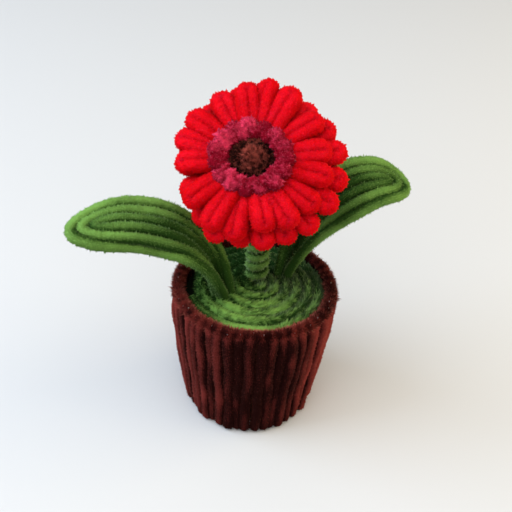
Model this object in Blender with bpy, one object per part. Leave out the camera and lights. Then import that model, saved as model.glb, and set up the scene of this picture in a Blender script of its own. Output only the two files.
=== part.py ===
"""A gerbera in a pot, made of chenille stems: wire cores with a soft pile that is 6 mm across.

Metres, +Z up. The origin is the middle of the pot's underside, and the flower faces -Y.
"""

import math

import bmesh
import bpy
from mathutils import Matrix, Vector

MM = 0.001
GAP = 0.3 * MM  # clearance between neighbouring pieces
WELD = 0.001 * MM
ALMOST_ONE = 0.9999
HOLE_SIDES = 20
WIRE_HOLE_SIDES = 12

PILE_RADIUS = 3.0 * MM  # a chenille stem is 6 mm across its pile

POT_HEIGHT = 66 * MM
POT_TOP_RADIUS = 40 * MM
POT_BASE_RADIUS = 31.2 * MM
POT_BELLY = 1.5  # above 1, the side swells between base and rim
POT_STEMS = 48
POT_WALL = 2 * PILE_RADIUS
POT_GROOVE = 1.7 * MM
POT_GROOVE_NARROWNESS = 1.6
POT_FOOT_ROUND = 2.2 * MM
POT_FOOT_HEIGHT = 3 * MM
POT_LEVELS = (0.0, 22 * MM, 44 * MM, POT_HEIGHT)

BASE_DISC_THICK = 2 * MM
FOAM_TOP = 58.5 * MM

MOSS_RADIUS = 31 * MM
MOSS_TURNS = 5
MOSS_EDGE_TOP = 64.3 * MM
MOSS_DOME = 2.2 * MM
MOSS_GROOVE = 1.8 * MM

STEM_FOOT = Vector((0.5 * MM, 7 * MM, 20 * MM))
STEM_WIRE_RADIUS = 1.3 * MM
STEM_WIRE_POINTS = 26
STEM_WRAP_RADIUS = 5.3 * MM
STEM_WRAP_PITCH = 5 * MM
STEM_WRAP_RIDGE = 0.7 * MM
STEM_WRAP_START = 58.9 * MM
CALYX_RADIUS = 8.5 * MM
CALYX_LENGTH = 8 * MM
RINGS_PER_PITCH = 4

HEAD_CENTRE = Vector((-4.5 * MM, -4 * MM, 136 * MM))  # middle of the front petal layer
HEAD_UP = math.radians(46)
HEAD_LEFT = math.radians(8)
LAYER_STEP = 7 * MM
BACK_SHIFT = (3.5 * MM, -2.5 * MM)  # the back layer sits off centre, towards the right and down

FRONT_PETALS = (
    # degrees clockwise from the top, reach in mm
    (3.5, 36.4),
    (21.7, 36.0),
    (48.5, 36.0),
    (74, 35.0),
    (94.6, 36.0),
    (117.8, 36.0),
    (139.6, 35.0),
    (160, 33.0),
    (184.6, 36.4),
    (203.4, 36.6),
    (227.8, 35.2),
    (260, 34.2),
    (280, 36.4),
    (298, 36.2),
    (318.8, 34.6),
    (346.4, 34.2),
)
BACK_PETALS = (
    (8, 37),
    (28, 38),
    (48, 38.5),
    (68, 38),
    (88, 37),
    (108, 37),
    (128, 36.5),
    (146, 34),
    (168.5, 35.5),
    (189, 35),
    (207, 38.5),
    (224, 37),
    (246, 37),
    (268, 37),
    (288, 37),
    (308, 37),
    (328, 37),
    (348, 37),
)
PETAL_ROOT = 12 * MM
PETAL_RADIUS = 2.75 * MM
PETAL_SPREAD = 2.95 * MM
PETAL_SIDE = (
    # share of the way out, share of the full spread, share of the crown's rise, share of the thickness
    (0.0, 0.44, 0.0, 0.62),
    (0.34, 0.75, 0.7, 0.85),
    (0.73, 1.0, 1.0, 1.0),
    (1.0, 1.0, 0.6, 1.0),
)
PETAL_TIP_DROP = 0.5
FRONT_CROWN = 1.8 * MM
BACK_CROWN = 1.1 * MM
HUB_RADIUS = 16 * MM
HUB_SIDES = 36

RING_INNER = 10.2 * MM
RING_OUTER = 18.6 * MM
RING_HEIGHT = 6.2 * MM
RING_TUFTS = 16
RING_TUFT_DEPTH = 0.2

CENTRE_RADIUS = 9.7 * MM
CENTRE_HEIGHT = 5.6 * MM
CENTRE_TURNS = 3
CENTRE_GROOVE = 0.7 * MM

LEAF_STRAND = 2.7 * MM
LEAF_ROOT_STRAND = 1.9 * MM
LEAF_PITCH = 5.5 * MM
LEAF_ROOT_ROW = 2.6 * MM
LEAF_FAN_START = 14 * MM
LEAF_FAN_END = 62 * MM
LEAF_CAPS = (7 * MM, 26 * MM, 38 * MM)  # length of the rounded end of the inner, middle and outer loop
LEAF_ENDS = (14 * MM, 5.8 * MM, 0.0)  # how far each loop stops short of the tip
LEAF_ARCH = 2.2 * MM
LEAF_HOLE = 6.3 * MM

LEFT_LEAF = {
    "foot": (-14 * MM, -8 * MM),
    "heading": math.radians(197),
    "profile": ((0, 46), (0, 57), (1.0, 68), (9, 89), (23, 104), (45, 112), (69, 110)),
    "bank": (58, 52, 20, 10, 8),
    "width": 1.0,
}
RIGHT_LEAF = {
    "foot": (13 * MM, 11 * MM),
    "heading": math.radians(22),
    "profile": ((0, 46), (0, 57), (1.0, 68), (10, 89), (26, 106), (43, 111), (59, 105)),
    "bank": (-58, -52, -38, -32, -30),
    "width": 0.84,
}


def material(name, colour, roughness, metallic=0.0):
    made = bpy.data.materials.new(name)
    made.use_nodes = True
    shader = made.node_tree.nodes["Principled BSDF"]
    shader.inputs["Base Color"].default_value = (*colour, 1.0)
    shader.inputs["Roughness"].default_value = roughness
    shader.inputs["Metallic"].default_value = metallic
    return made


def new_object(name, mesh, collection):
    made = bpy.data.objects.new(name, mesh)
    collection.objects.link(made)
    return made


def mapped_grid(name, columns, rows, place, collection, along=False):
    """A grid primitive whose points are moved by place(u, v), u and v from 0 to 1.

    The grid is closed in u, along closes it in v too, and rows that place puts on one point become a pole.
    """
    shape = bmesh.new()
    bmesh.ops.create_grid(shape, x_segments=columns, y_segments=rows, size=0.5)
    for vertex in shape.verts:
        u, v = vertex.co.x + 0.5, vertex.co.y + 0.5
        u = 0.0 if u > ALMOST_ONE else u
        v = 0.0 if along and v > ALMOST_ONE else v
        vertex.co = place(u, v)
    bmesh.ops.remove_doubles(shape, verts=shape.verts, dist=WELD)
    bmesh.ops.dissolve_degenerate(shape, edges=shape.edges, dist=WELD)
    bmesh.ops.recalc_face_normals(shape, faces=shape.faces)
    bmesh.ops.triangulate(shape, faces=shape.faces)
    mesh = bpy.data.meshes.new(name)
    shape.to_mesh(mesh)
    shape.free()
    return new_object(name, mesh, collection)


def tube(name, points, radii, collection):
    """A round wire through points, with its own radius at each, as a closed mesh."""
    curve = bpy.data.curves.new(name, "CURVE")
    curve.dimensions = "3D"
    curve.bevel_depth = 1.0
    curve.bevel_resolution = 1
    curve.use_fill_caps = True
    spline = curve.splines.new("POLY")
    spline.points.add(len(points) - 1)
    for knot, point, radius in zip(spline.points, points, radii):
        knot.co = (*point, 1.0)
        knot.radius = radius
    guide = new_object(name + "_guide", curve, collection)
    bpy.context.view_layer.update()
    graph = bpy.context.evaluated_depsgraph_get()
    mesh = bpy.data.meshes.new_from_object(guide.evaluated_get(graph))
    bpy.data.objects.remove(guide)
    shape = bmesh.new()
    shape.from_mesh(mesh)
    bmesh.ops.remove_doubles(shape, verts=shape.verts, dist=WELD)
    bmesh.ops.recalc_face_normals(shape, faces=shape.faces)
    shape.to_mesh(mesh)
    shape.free()
    return new_object(name, mesh, collection)


def rod(name, start, end, radius, sides, collection):
    """A straight round bar from start to end."""
    axis = end - start
    shape = bmesh.new()
    bmesh.ops.create_cone(
        shape, cap_ends=True, segments=sides, radius1=radius, radius2=radius, depth=axis.length
    )
    turn = Vector((0, 0, 1)).rotation_difference(axis).to_matrix().to_4x4()
    shape.transform(Matrix.Translation((start + end) / 2) @ turn)
    mesh = bpy.data.meshes.new(name)
    shape.to_mesh(mesh)
    shape.free()
    return new_object(name, mesh, collection)


def apply_boolean(target, operation, others):
    """Joins the objects of others to target, or cuts them from it, and removes them."""
    modifier = target.modifiers.new(operation.title(), "BOOLEAN")
    modifier.operation = operation
    modifier.operand_type = "COLLECTION"
    modifier.collection = others
    modifier.solver = "MANIFOLD"
    bpy.context.view_layer.update()
    graph = bpy.context.evaluated_depsgraph_get()
    mesh = bpy.data.meshes.new_from_object(target.evaluated_get(graph))
    target.modifiers.clear()
    target.data = mesh
    for helper in list(others.objects):
        bpy.data.objects.remove(helper)


def finish(obj, look, angle=40):
    obj.data.materials.clear()
    obj.data.materials.append(look)
    obj.data.shade_smooth()
    obj.data.set_sharp_from_angle(angle=math.radians(angle))


def helper_collection(name):
    made = bpy.data.collections.new(name)
    made.hide_render = True
    bpy.context.scene.collection.children.link(made)
    return made


STEPS_BETWEEN_KNOTS = 24


def smooth_route(knots, count):
    """count points evenly spaced along the smooth curve through knots."""
    ends = [2 * knots[0] - knots[1], *knots, 2 * knots[-1] - knots[-2]]
    fine = []
    for a, b, c, d in zip(ends, ends[1:], ends[2:], ends[3:]):
        square = 2 * a - 5 * b + 4 * c - d
        cube = 3 * b - a - 3 * c + d
        for step in range(STEPS_BETWEEN_KNOTS):
            t = step / STEPS_BETWEEN_KNOTS
            fine.append((2 * b + (c - a) * t + square * t**2 + cube * t**3) / 2)
    fine.append(knots[-1])
    lengths = [0.0]
    for a, b in zip(fine, fine[1:]):
        lengths.append(lengths[-1] + (b - a).length)
    route = []
    k = 0
    for step in range(count):
        wanted = lengths[-1] * step / (count - 1)
        while k < len(fine) - 2 and lengths[k + 1] < wanted:
            k += 1
        share = (wanted - lengths[k]) / (lengths[k + 1] - lengths[k])
        route.append(fine[k].lerp(fine[k + 1], min(share, 1.0)))
    return route, lengths[-1]


def ease(x):
    x = min(max(x, 0.0), 1.0)
    return x * x * (3 - 2 * x)


def pot_radius(z):
    swell = 1 - (1 - min(max(z / POT_HEIGHT, 0.0), 1.0)) ** POT_BELLY
    return POT_BASE_RADIUS + (POT_TOP_RADIUS - POT_BASE_RADIUS) * swell


def pot_bore(z):
    """The radius of the inside, which is straight between the levels."""
    for low, high in zip(POT_LEVELS, POT_LEVELS[1:]):
        if z <= high:
            share = (z - low) / (high - low)
            return pot_radius(low) + (pot_radius(high) - pot_radius(low)) * share - POT_WALL
    return POT_TOP_RADIUS - POT_WALL


def make_pot_wall(parts):
    """Forty-eight brown stems glued side by side, cut level at the rim and tucked in at the foot."""
    outside = [POT_LEVELS[0], POT_FOOT_HEIGHT, *POT_LEVELS[1:]]
    inside = POT_LEVELS[::-1]
    rows = len(outside) + len(inside)

    def place(u, v):
        row = round(v * rows)
        turn = 2 * math.pi * u
        if row < len(outside):
            z = outside[row]
            between = 1 - abs(math.cos(POT_STEMS * turn / 2))
            groove = POT_GROOVE * between**POT_GROOVE_NARROWNESS
            foot = POT_FOOT_ROUND if row == 0 else 0.0
            radius = pot_radius(z) - groove - foot
        else:
            z = inside[row - len(outside)]
            radius = pot_bore(z)
        return Vector((radius * math.cos(turn), radius * math.sin(turn), z))

    return mapped_grid("pot_wall", 4 * POT_STEMS, rows, place, parts, along=True)


def make_base_disc(parts):
    radius = pot_bore(0.0) - GAP
    return rod("base_disc", Vector((0, 0, 0)), Vector((0, 0, BASE_DISC_THICK)), radius, 48, parts)


def make_foam(parts, cutters):
    """The plug that the wires are pushed into."""
    levels = (BASE_DISC_THICK + GAP, *POT_LEVELS[1:-1], FOAM_TOP)
    rows = len(levels) + 1

    def place(u, v):
        row = round(v * rows)
        turn = 2 * math.pi * u
        z = levels[min(max(row - 1, 0), len(levels) - 1)]
        radius = 0.0 if row in (0, rows) else pot_bore(z) - GAP
        return Vector((radius * math.cos(turn), radius * math.sin(turn), z))

    foam = mapped_grid("foam_fill", 40, rows, place, parts)
    top = FOAM_TOP + 5 * MM
    wire_hole = STEM_WIRE_RADIUS + GAP
    foot = STEM_FOOT - Vector((0, 0, GAP))
    rod("stem_hole", foot, Vector((*STEM_FOOT.xy, top)), wire_hole, WIRE_HOLE_SIDES, cutters)
    for side, leaf in (("left", LEFT_LEAF), ("right", RIGHT_LEAF)):
        low_end = Vector((*leaf["foot"], leaf["profile"][0][1] * MM - GAP))
        rod(side + "_hole", low_end, Vector((*leaf["foot"], top)), LEAF_HOLE, HOLE_SIDES, cutters)
    apply_boolean(foam, "DIFFERENCE", cutters)
    return foam


def make_moss(parts, cutters):
    """One green stem coiled flat on the foam, five turns, slightly higher in the middle."""
    rings = 4 * MOSS_TURNS
    low = FOAM_TOP + GAP

    def place(u, v):
        row = round(v * (rings + 3))
        turn = 2 * math.pi * u
        if row == 0:
            return Vector((0, 0, low))
        if row == 1:
            return Vector((MOSS_RADIUS * math.cos(turn), MOSS_RADIUS * math.sin(turn), low))
        if row == 2:
            edge = low + 3 * MM
            return Vector((MOSS_RADIUS * math.cos(turn), MOSS_RADIUS * math.sin(turn), edge))
        share = 1 - (row - 2.5) / (rings + 0.5)
        if row == rings + 3:
            share = 0.0
        radius = MOSS_RADIUS * share
        crown = MOSS_EDGE_TOP + MOSS_DOME * (1 - share**2)
        phase = math.pi * (MOSS_TURNS * share - u)
        z = crown - MOSS_GROOVE * (1 - abs(math.sin(phase))) * min(1.0, 4 * share)
        return Vector((radius * math.cos(turn), radius * math.sin(turn), z))

    moss = mapped_grid("moss_coil", 40, rings + 3, place, parts)
    below = FOAM_TOP - 3 * MM
    above = POT_HEIGHT + 12 * MM
    stem_hole = STEM_WRAP_RADIUS + STEM_WRAP_RIDGE + GAP
    holes = (("stem", STEM_FOOT.xy, stem_hole), ("left", LEFT_LEAF["foot"], LEAF_HOLE))
    holes += (("right", RIGHT_LEAF["foot"], LEAF_HOLE),)
    for side, spot, radius in holes:
        rod(side + "_hole", Vector((*spot, below)), Vector((*spot, above)), radius, HOLE_SIDES, cutters)
    apply_boolean(moss, "DIFFERENCE", cutters)
    return moss


def head_frame():
    """Right, up and outward directions of the flower's face, as columns, with its centre."""
    out = Vector(
        (
            -math.sin(HEAD_LEFT) * math.cos(HEAD_UP),
            -math.cos(HEAD_LEFT) * math.cos(HEAD_UP),
            math.sin(HEAD_UP),
        )
    )
    right = Vector((0, 0, 1)).cross(out).normalized()
    up = out.cross(right)
    frame = Matrix((right, up, out)).transposed().to_4x4()
    return Matrix.Translation(HEAD_CENTRE) @ frame


def stem_route(count):
    """From the foam straight up, then over to the back of the flower and through its middle."""
    frame = head_frame()
    knots = [
        STEM_FOOT,
        Vector((*STEM_FOOT.xy, 44 * MM)),
        Vector((*STEM_FOOT.xy, 68 * MM)),
        Vector((0, 8.8 * MM, 90 * MM)),
        Vector((-1.3 * MM, 10.8 * MM, 109 * MM)),
        frame @ Vector((0, 0, -18 * MM)),
        frame @ Vector((0, 0, -11 * MM)),
        frame @ Vector((0, 0, -4 * MM)),
        frame @ Vector((0, 0, 2.4 * MM)),
    ]
    return smooth_route(knots, count)


def make_stem_wire(parts):
    route, _ = stem_route(STEM_WIRE_POINTS)
    return tube("stem_wire", route, [STEM_WIRE_RADIUS] * len(route), parts)


def make_stem_wrap(parts):
    """A green stem wound round the wire, its last turns wider, under the petals."""
    fine, _ = stem_route(241)
    frame = head_frame()
    face = frame.inverted()
    end_height = -1.5 * LAYER_STEP - 1.5 * GAP
    route = [p for p in fine if p.z > STEM_WRAP_START and (face @ p).z < end_height]
    lengths = [0.0]
    for a, b in zip(route, route[1:]):
        lengths.append(lengths[-1] + (b - a).length)
    total = lengths[-1]
    rings = round(total / STEM_WRAP_PITCH * RINGS_PER_PITCH)
    bore_rings = 16
    sides = 12
    bore = STEM_WIRE_RADIUS + GAP

    def centre_line(distance):
        k = max(i for i, reached in enumerate(lengths[:-1]) if reached <= distance)
        share = (distance - lengths[k]) / (lengths[k + 1] - lengths[k])
        return route[k].lerp(route[k + 1], share), (route[k + 1] - route[k]).normalized()

    def place(u, v):
        row = round(v * (rings + bore_rings + 2))
        outside = row <= rings
        share = row / rings if outside else 1 - (row - rings - 1) / bore_rings
        distance = total * min(max(share, 0.0), 1.0)
        middle, along = centre_line(distance)
        across = Vector((0, 1, 0)).cross(along).normalized()
        other = along.cross(across)
        turn = 2 * math.pi * u
        if outside:
            ridge = STEM_WRAP_RIDGE * math.cos(turn - 2 * math.pi * distance / STEM_WRAP_PITCH)
            calyx = ease(1 - (total - distance) / CALYX_LENGTH) * (CALYX_RADIUS - STEM_WRAP_RADIUS)
            radius = STEM_WRAP_RADIUS + ridge * ease((total - distance) / MM) + calyx
        else:
            radius = bore
        return middle + (across * math.cos(turn) + other * math.sin(turn)) * radius

    return mapped_grid("stem_wrap", sides, rings + bore_rings + 2, place, parts, along=True)


def petal_path(reach, crown):
    """One loop of chenille: out along one side, round the tip and back, in the petal's own plane."""
    turn_at = reach - PILE_RADIUS - PETAL_SPREAD
    points = []
    radii = []
    for share, spread, rise, width in PETAL_SIDE:
        along = PETAL_ROOT + (turn_at - PETAL_ROOT) * share
        points.append(Vector((PETAL_SPREAD * spread, along, crown * rise)))
        radii.append(PETAL_RADIUS * width)
    tip_rise = PETAL_SIDE[-1][2]
    for step in (1, 2, 3):
        angle = math.pi * step / 4
        out = turn_at + PETAL_SPREAD * math.sin(angle)
        drop = PETAL_TIP_DROP * math.sin(angle)
        points.append(Vector((PETAL_SPREAD * math.cos(angle), out, crown * (tip_rise - drop))))
        radii.append(PETAL_RADIUS)
    for point, radius in list(zip(points, radii))[len(PETAL_SIDE) - 1 :: -1]:
        points.append(Vector((-point.x, point.y, point.z)))
        radii.append(radius)
    return points, radii


def make_petals(name, petals, crown, shift, height, parts, helpers):
    """A ring of looped petals and the wired hub that gathers their roots."""
    frame = head_frame() @ Matrix.Translation((*shift, height))
    for index, (degrees, reach) in enumerate(petals):
        points, radii = petal_path(reach * MM, crown)
        turn = frame @ Matrix.Rotation(-math.radians(degrees), 4, "Z")
        tube(f"{name}_{index}", [turn @ point for point in points], radii, helpers)
    half = LAYER_STEP / 2 - GAP / 2
    centre = -Vector((*shift, 0))
    low = frame @ Vector((0, 0, -half))
    high = frame @ Vector((0, 0, half))
    hub = rod(name, low, high, HUB_RADIUS, HUB_SIDES, parts)
    apply_boolean(hub, "UNION", helpers)
    below = frame @ (centre - Vector((0, 0, LAYER_STEP)))
    above = frame @ (centre + Vector((0, 0, LAYER_STEP)))
    rod(name + "_hole", below, above, STEM_WIRE_RADIUS + GAP, WIRE_HOLE_SIDES, helpers)
    apply_boolean(hub, "DIFFERENCE", helpers)
    return hub


def make_ring(parts):
    """The magenta ring: a stem bent to and fro into short tufts round the centre."""
    frame = head_frame() @ Matrix.Translation((0, 0, LAYER_STEP / 2 + GAP))
    middle = (RING_INNER + RING_OUTER) / 2
    half_width = (RING_OUTER - RING_INNER) / 2
    half_height = RING_HEIGHT / 2

    def place(u, v):
        turn = 2 * math.pi * u
        section = 2 * math.pi * v
        tuft = 1 - RING_TUFT_DEPTH * (1 - abs(math.cos(RING_TUFTS * turn / 2)))
        out = middle + half_width * math.cos(section) * tuft
        up = half_height * (1 + math.sin(section) * (tuft if math.sin(section) > 0 else 1.0))
        return frame @ Vector((out * math.cos(turn), out * math.sin(turn), up))

    return mapped_grid("ring", 4 * RING_TUFTS, 8, place, parts, along=True)


def make_centre(parts):
    """The dark brown middle, a short stem wound into a button."""
    frame = head_frame() @ Matrix.Translation((0, 0, LAYER_STEP / 2 + GAP))
    rings = 10

    def place(u, v):
        row = round(v * (rings + 1))
        turn = 2 * math.pi * u
        share = 1 - (row - 1) / rings
        if row == 0:
            radius, up = 0.0, 0.0
        elif row == 1:
            radius, up = CENTRE_RADIUS, 0.0
        else:
            radius = CENTRE_RADIUS * min(1.0, 1.1 * share)
            between = 1 - abs(math.sin(math.pi * (CENTRE_TURNS * share - u)))
            up = CENTRE_HEIGHT * math.sqrt(1 - 0.75 * share**2)
            up -= CENTRE_GROOVE * between * min(1.0, CENTRE_TURNS * share)
        return frame @ Vector((radius * math.cos(turn), radius * math.sin(turn), up))

    return mapped_grid("centre", 28, rings + 1, place, parts)


def leaf_chart(leaf):
    """A function from (distance from the foot, offset across, lift) to a point of the leaf."""
    heading = Vector((math.cos(leaf["heading"]), math.sin(leaf["heading"]), 0))
    foot = Vector((*leaf["foot"], 0))
    knots = [foot + heading * (along * MM) + Vector((0, 0, z * MM)) for along, z in leaf["profile"]]
    count = 121
    route, total = smooth_route(knots, count)
    side = heading.cross(Vector((0, 0, 1)))
    banks = leaf["bank"]

    def point(distance, across, lift):
        share = min(max(distance / total, 0.0), 1.0) * (count - 1)
        k = min(int(share), count - 2)
        middle = route[k].lerp(route[k + 1], share - k)
        along = (route[k + 1] - route[k]).normalized()
        upper = side.cross(along)
        upper = upper if upper.dot(Vector((0, 0, 1)) - 0.5 * heading) > 0 else -upper
        place = share / (count - 1) * (len(banks) - 1)
        low = min(int(place), len(banks) - 2)
        bank = math.radians(banks[low] + (banks[low + 1] - banks[low]) * (place - low))
        width_way = side * math.cos(bank) + upper * math.sin(bank)
        lift_way = upper * math.cos(bank) - side * math.sin(bank)
        return middle + width_way * across + lift_way * lift

    return point, total


def leaf_loop(leaf, rank):
    """The points and radii of one nested loop; rank 0 is the innermost."""
    point, total = leaf_chart(leaf)
    full = (rank + 0.5) * LEAF_PITCH * leaf["width"]
    end = total - LEAF_ENDS[rank]
    cap_start = end - LEAF_CAPS[rank]
    root_across = LEAF_ROOT_STRAND
    root_lift = (rank - 1) * LEAF_ROOT_ROW
    outermost = 2.5 * LEAF_PITCH

    def spot(distance, sign):
        fan = ease((distance - LEAF_FAN_START) / (LEAF_FAN_END - LEAF_FAN_START))
        cap = max(0.0, (distance - cap_start) / LEAF_CAPS[rank])
        across = (root_across + (full - root_across) * fan) * math.sqrt(max(0.0, 1 - cap**2))
        lift = root_lift * (1 - fan) - LEAF_ARCH * (across / outermost) ** 2 * fan
        strand = LEAF_ROOT_STRAND + (LEAF_STRAND - LEAF_ROOT_STRAND) * ease(distance / LEAF_FAN_END * 1.4)
        return point(distance, sign * across, lift), strand

    steps = 7
    straight = [cap_start * step / steps for step in range(steps + 1)]
    bend = [cap_start + LEAF_CAPS[rank] * math.sin(math.pi / 2 * step / 4) for step in (1, 2, 3)]
    near = [spot(distance, 1) for distance in straight + bend]
    far = [spot(distance, -1) for distance in straight + bend]
    tip = [spot(end, 1)]
    whole = near + tip + far[::-1]
    return [item[0] for item in whole], [item[1] for item in whole]


def make_leaf(name, leaf, parts, helpers):
    """Three loops of green stem, one inside the other, with all their ends in one root."""
    points, radii = leaf_loop(leaf, 0)
    inner = tube(name, points, radii, parts)
    for rank in (1, 2):
        points, radii = leaf_loop(leaf, rank)
        tube(f"{name}_{rank}", points, radii, helpers)
    apply_boolean(inner, "UNION", helpers)
    return inner


def build():
    for old in list(bpy.data.objects):
        bpy.data.objects.remove(old)
    parts = bpy.data.collections.new("Potted gerbera")
    bpy.context.scene.collection.children.link(parts)
    cutters = helper_collection("Cutters")
    helpers = helper_collection("Loops")

    brown = material("Brown chenille", (0.060, 0.013, 0.010), 0.95)
    card = material("Brown card", (0.14, 0.07, 0.04), 0.85)
    foam = material("Green foam", (0.05, 0.13, 0.05), 0.9)
    moss = material("Moss green chenille", (0.055, 0.13, 0.025), 0.95)
    steel = material("Steel wire", (0.55, 0.55, 0.55), 0.35, 1.0)
    stem = material("Stem green chenille", (0.12, 0.24, 0.05), 0.95)
    leaf = material("Leaf green chenille", (0.075, 0.17, 0.03), 0.95)
    red = material("Red chenille", (0.70, 0.004, 0.010), 0.9)
    magenta = material("Magenta chenille", (0.40, 0.012, 0.055), 0.9)
    dark = material("Dark brown chenille", (0.085, 0.018, 0.014), 0.95)

    finish(make_pot_wall(parts), brown)
    finish(make_base_disc(parts), card)
    finish(make_foam(parts, cutters), foam)
    finish(make_moss(parts, cutters), moss)
    finish(make_stem_wire(parts), steel)
    finish(make_stem_wrap(parts), stem)
    finish(make_leaf("leaf_left", LEFT_LEAF, parts, helpers), leaf)
    finish(make_leaf("leaf_right", RIGHT_LEAF, parts, helpers), leaf)
    front = make_petals("petals_front", FRONT_PETALS, FRONT_CROWN, (0, 0), 0.0, parts, helpers)
    back = make_petals(
        "petals_back", BACK_PETALS, BACK_CROWN, BACK_SHIFT, -LAYER_STEP, parts, helpers
    )
    finish(front, red)
    finish(back, red)
    finish(make_ring(parts), magenta)
    finish(make_centre(parts), dark)
    for empty in (cutters, helpers):
        bpy.data.collections.remove(empty)


build()
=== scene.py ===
import math

import bmesh
import bpy
import numpy as np
from mathutils import Matrix, Vector


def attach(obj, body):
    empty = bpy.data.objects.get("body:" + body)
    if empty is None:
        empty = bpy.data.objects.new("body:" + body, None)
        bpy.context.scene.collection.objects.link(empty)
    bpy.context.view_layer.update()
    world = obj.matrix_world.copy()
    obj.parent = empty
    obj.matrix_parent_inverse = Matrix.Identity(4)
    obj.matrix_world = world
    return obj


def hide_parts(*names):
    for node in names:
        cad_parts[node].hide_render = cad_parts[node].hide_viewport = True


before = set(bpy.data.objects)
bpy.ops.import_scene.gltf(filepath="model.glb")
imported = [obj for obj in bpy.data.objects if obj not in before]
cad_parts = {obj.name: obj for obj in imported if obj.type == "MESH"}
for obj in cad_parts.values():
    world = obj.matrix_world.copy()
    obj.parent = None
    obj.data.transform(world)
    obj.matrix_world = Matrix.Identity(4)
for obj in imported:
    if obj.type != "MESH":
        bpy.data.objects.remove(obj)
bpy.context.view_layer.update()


# The base is a disc of brown card, cut with a knife and glued inside the foot of the pot.
# Only its underside shows, when the pot is lifted: matt card with a faint grain of fibres.

MM = 0.001
CARD_LIGHT = (0.17, 0.085, 0.05)
CARD_DARK = (0.10, 0.048, 0.028)


class Socket:
    """A node's output, which adds its Math nodes when it is used in a sum."""

    def __init__(self, tree, link):
        self.tree = tree
        self.link = link

    def maths(self, operation, first, second):
        node = self.tree.nodes.new("ShaderNodeMath")
        node.operation = operation
        for socket, value in zip(node.inputs, (first, second)):
            if isinstance(value, Socket):
                self.tree.links.new(value.link, socket)
            else:
                socket.default_value = value
        return Socket(self.tree, node.outputs[0])

    def __add__(self, other):
        return self.maths("ADD", self, other)

    def __radd__(self, other):
        return self.maths("ADD", other, self)

    def __sub__(self, other):
        return self.maths("SUBTRACT", self, other)

    def __rsub__(self, other):
        return self.maths("SUBTRACT", other, self)

    def __mul__(self, other):
        return self.maths("MULTIPLY", self, other)

    def __rmul__(self, other):
        return self.maths("MULTIPLY", other, self)

    def steeper(self, gain):
        """The same pattern, with its contrast raised on both sides of one half."""
        return self * gain - (gain - 1) / 2


class Finish:
    """A material on the Principled shader; what is the same all over is set on its sockets."""

    def __init__(self, name, **sockets):
        self.material = bpy.data.materials.new(name)
        self.material.use_nodes = True
        self.tree = self.material.node_tree
        self.shader = self.tree.nodes["Principled BSDF"]
        for socket, value in sockets.items():
            self.shader.inputs[socket.replace("_", " ")].default_value = value

    def node(self, kind, settings, inputs, output=0):
        """Adds a node: its settings first, then the values or links of its sockets."""
        made = self.tree.nodes.new(kind)
        for key, value in settings.items():
            setattr(made, key, value)
        for key, value in inputs.items():
            if isinstance(value, Socket):
                self.tree.links.new(value.link, made.inputs[key])
            else:
                made.inputs[key].default_value = value
        return Socket(self.tree, made.outputs[output])

    def noise(self, scale, detail=2.0, roughness=0.5, grain=(1, 1, 1)):
        place = self.node("ShaderNodeTexCoord", {}, {}, "Object")
        stretched = {0: place, 1: grain}
        place = self.node("ShaderNodeVectorMath", {"operation": "MULTIPLY"}, stretched)
        sockets = {"Vector": place, "Scale": scale, "Detail": detail, "Roughness": roughness}
        return self.node("ShaderNodeTexNoise", {}, sockets, "Fac")

    def attribute(self, name):
        return self.node("ShaderNodeAttribute", {"attribute_name": name}, {}, "Fac")

    def mix(self, factor, first, second):
        """Mixes two colours, each a socket or linear red, green and blue."""
        sides = [side if isinstance(side, Socket) else (*side, 1.0) for side in (first, second)]
        settings = {"data_type": "RGBA", "clamp_factor": True}
        return self.node("ShaderNodeMix", settings, {0: factor, 6: sides[0], 7: sides[1]}, 2)

    def feed(self, socket, value):
        self.tree.links.new(value.link, self.shader.inputs[socket])

    def bump(self, height, distance):
        sockets = {"Height": height, "Distance": distance}
        self.feed("Normal", self.node("ShaderNodeBump", {}, sockets))


def dress(node, finish):
    """Gives a solid of the frame, which shows as it is, its material."""
    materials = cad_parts[node].data.materials
    materials.clear()
    materials.append(finish.material)


card = Finish("Brown card", Roughness=0.85)
card_fibre = card.noise(1400, detail=4)
card.feed("Base Color", card.mix(card_fibre.steeper(1.6), CARD_DARK, CARD_LIGHT))
card.bump(card_fibre, 0.05 * MM)
dress("base_disc", card)


# The filling is a plug of green floral foam, pressed into the pot. A sliver of it shows, painted
# near-black as the trench's shade, between the moss and the rim: fine open cells that crumble a
# little.

# the foam's green, painted near-black as the trench's shade
FOAM_SHADED_LIGHT = (0.010, 0.018, 0.007)
FOAM_SHADED_DARK = (0.002, 0.004, 0.002)

foam = Finish("Green foam", Roughness=0.95, Specular_IOR_Level=0.05)
foam_cells = foam.noise(2600, detail=3, roughness=0.7)
foam.feed("Base Color", foam.mix(foam_cells.steeper(2.4), FOAM_SHADED_DARK, FOAM_SHADED_LIGHT))
foam.bump(foam_cells, 0.2 * MM)
dress("foam_fill", foam)


# The pot is forty-eight brown chenille stems, glued side by side round the filling from foot to
# rim. Each is short soft pile twisted between two wires. They lean and bulge a little, and the
# pile of their cut ends runs together into one soft band.

PILE = 3.0 * MM  # from a stem's wire to the tips of its pile
TUFT = 0.95 * MM  # how long the loose ends of the pile are
TUFT_INSIDE = 0.8  # the share of a tuft that lies inside the stem's radius
TUFT_LENGTHS = (0.6, 1.2)  # of the shortest tuft and the longest
TUFT_SCATTER = 0.24  # how far tufts lean out of the upright
THREAD = 1.9 * MM  # the twisted wires throw the pile into a fine screw thread
THREAD_DEPTH = 0.1
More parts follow.
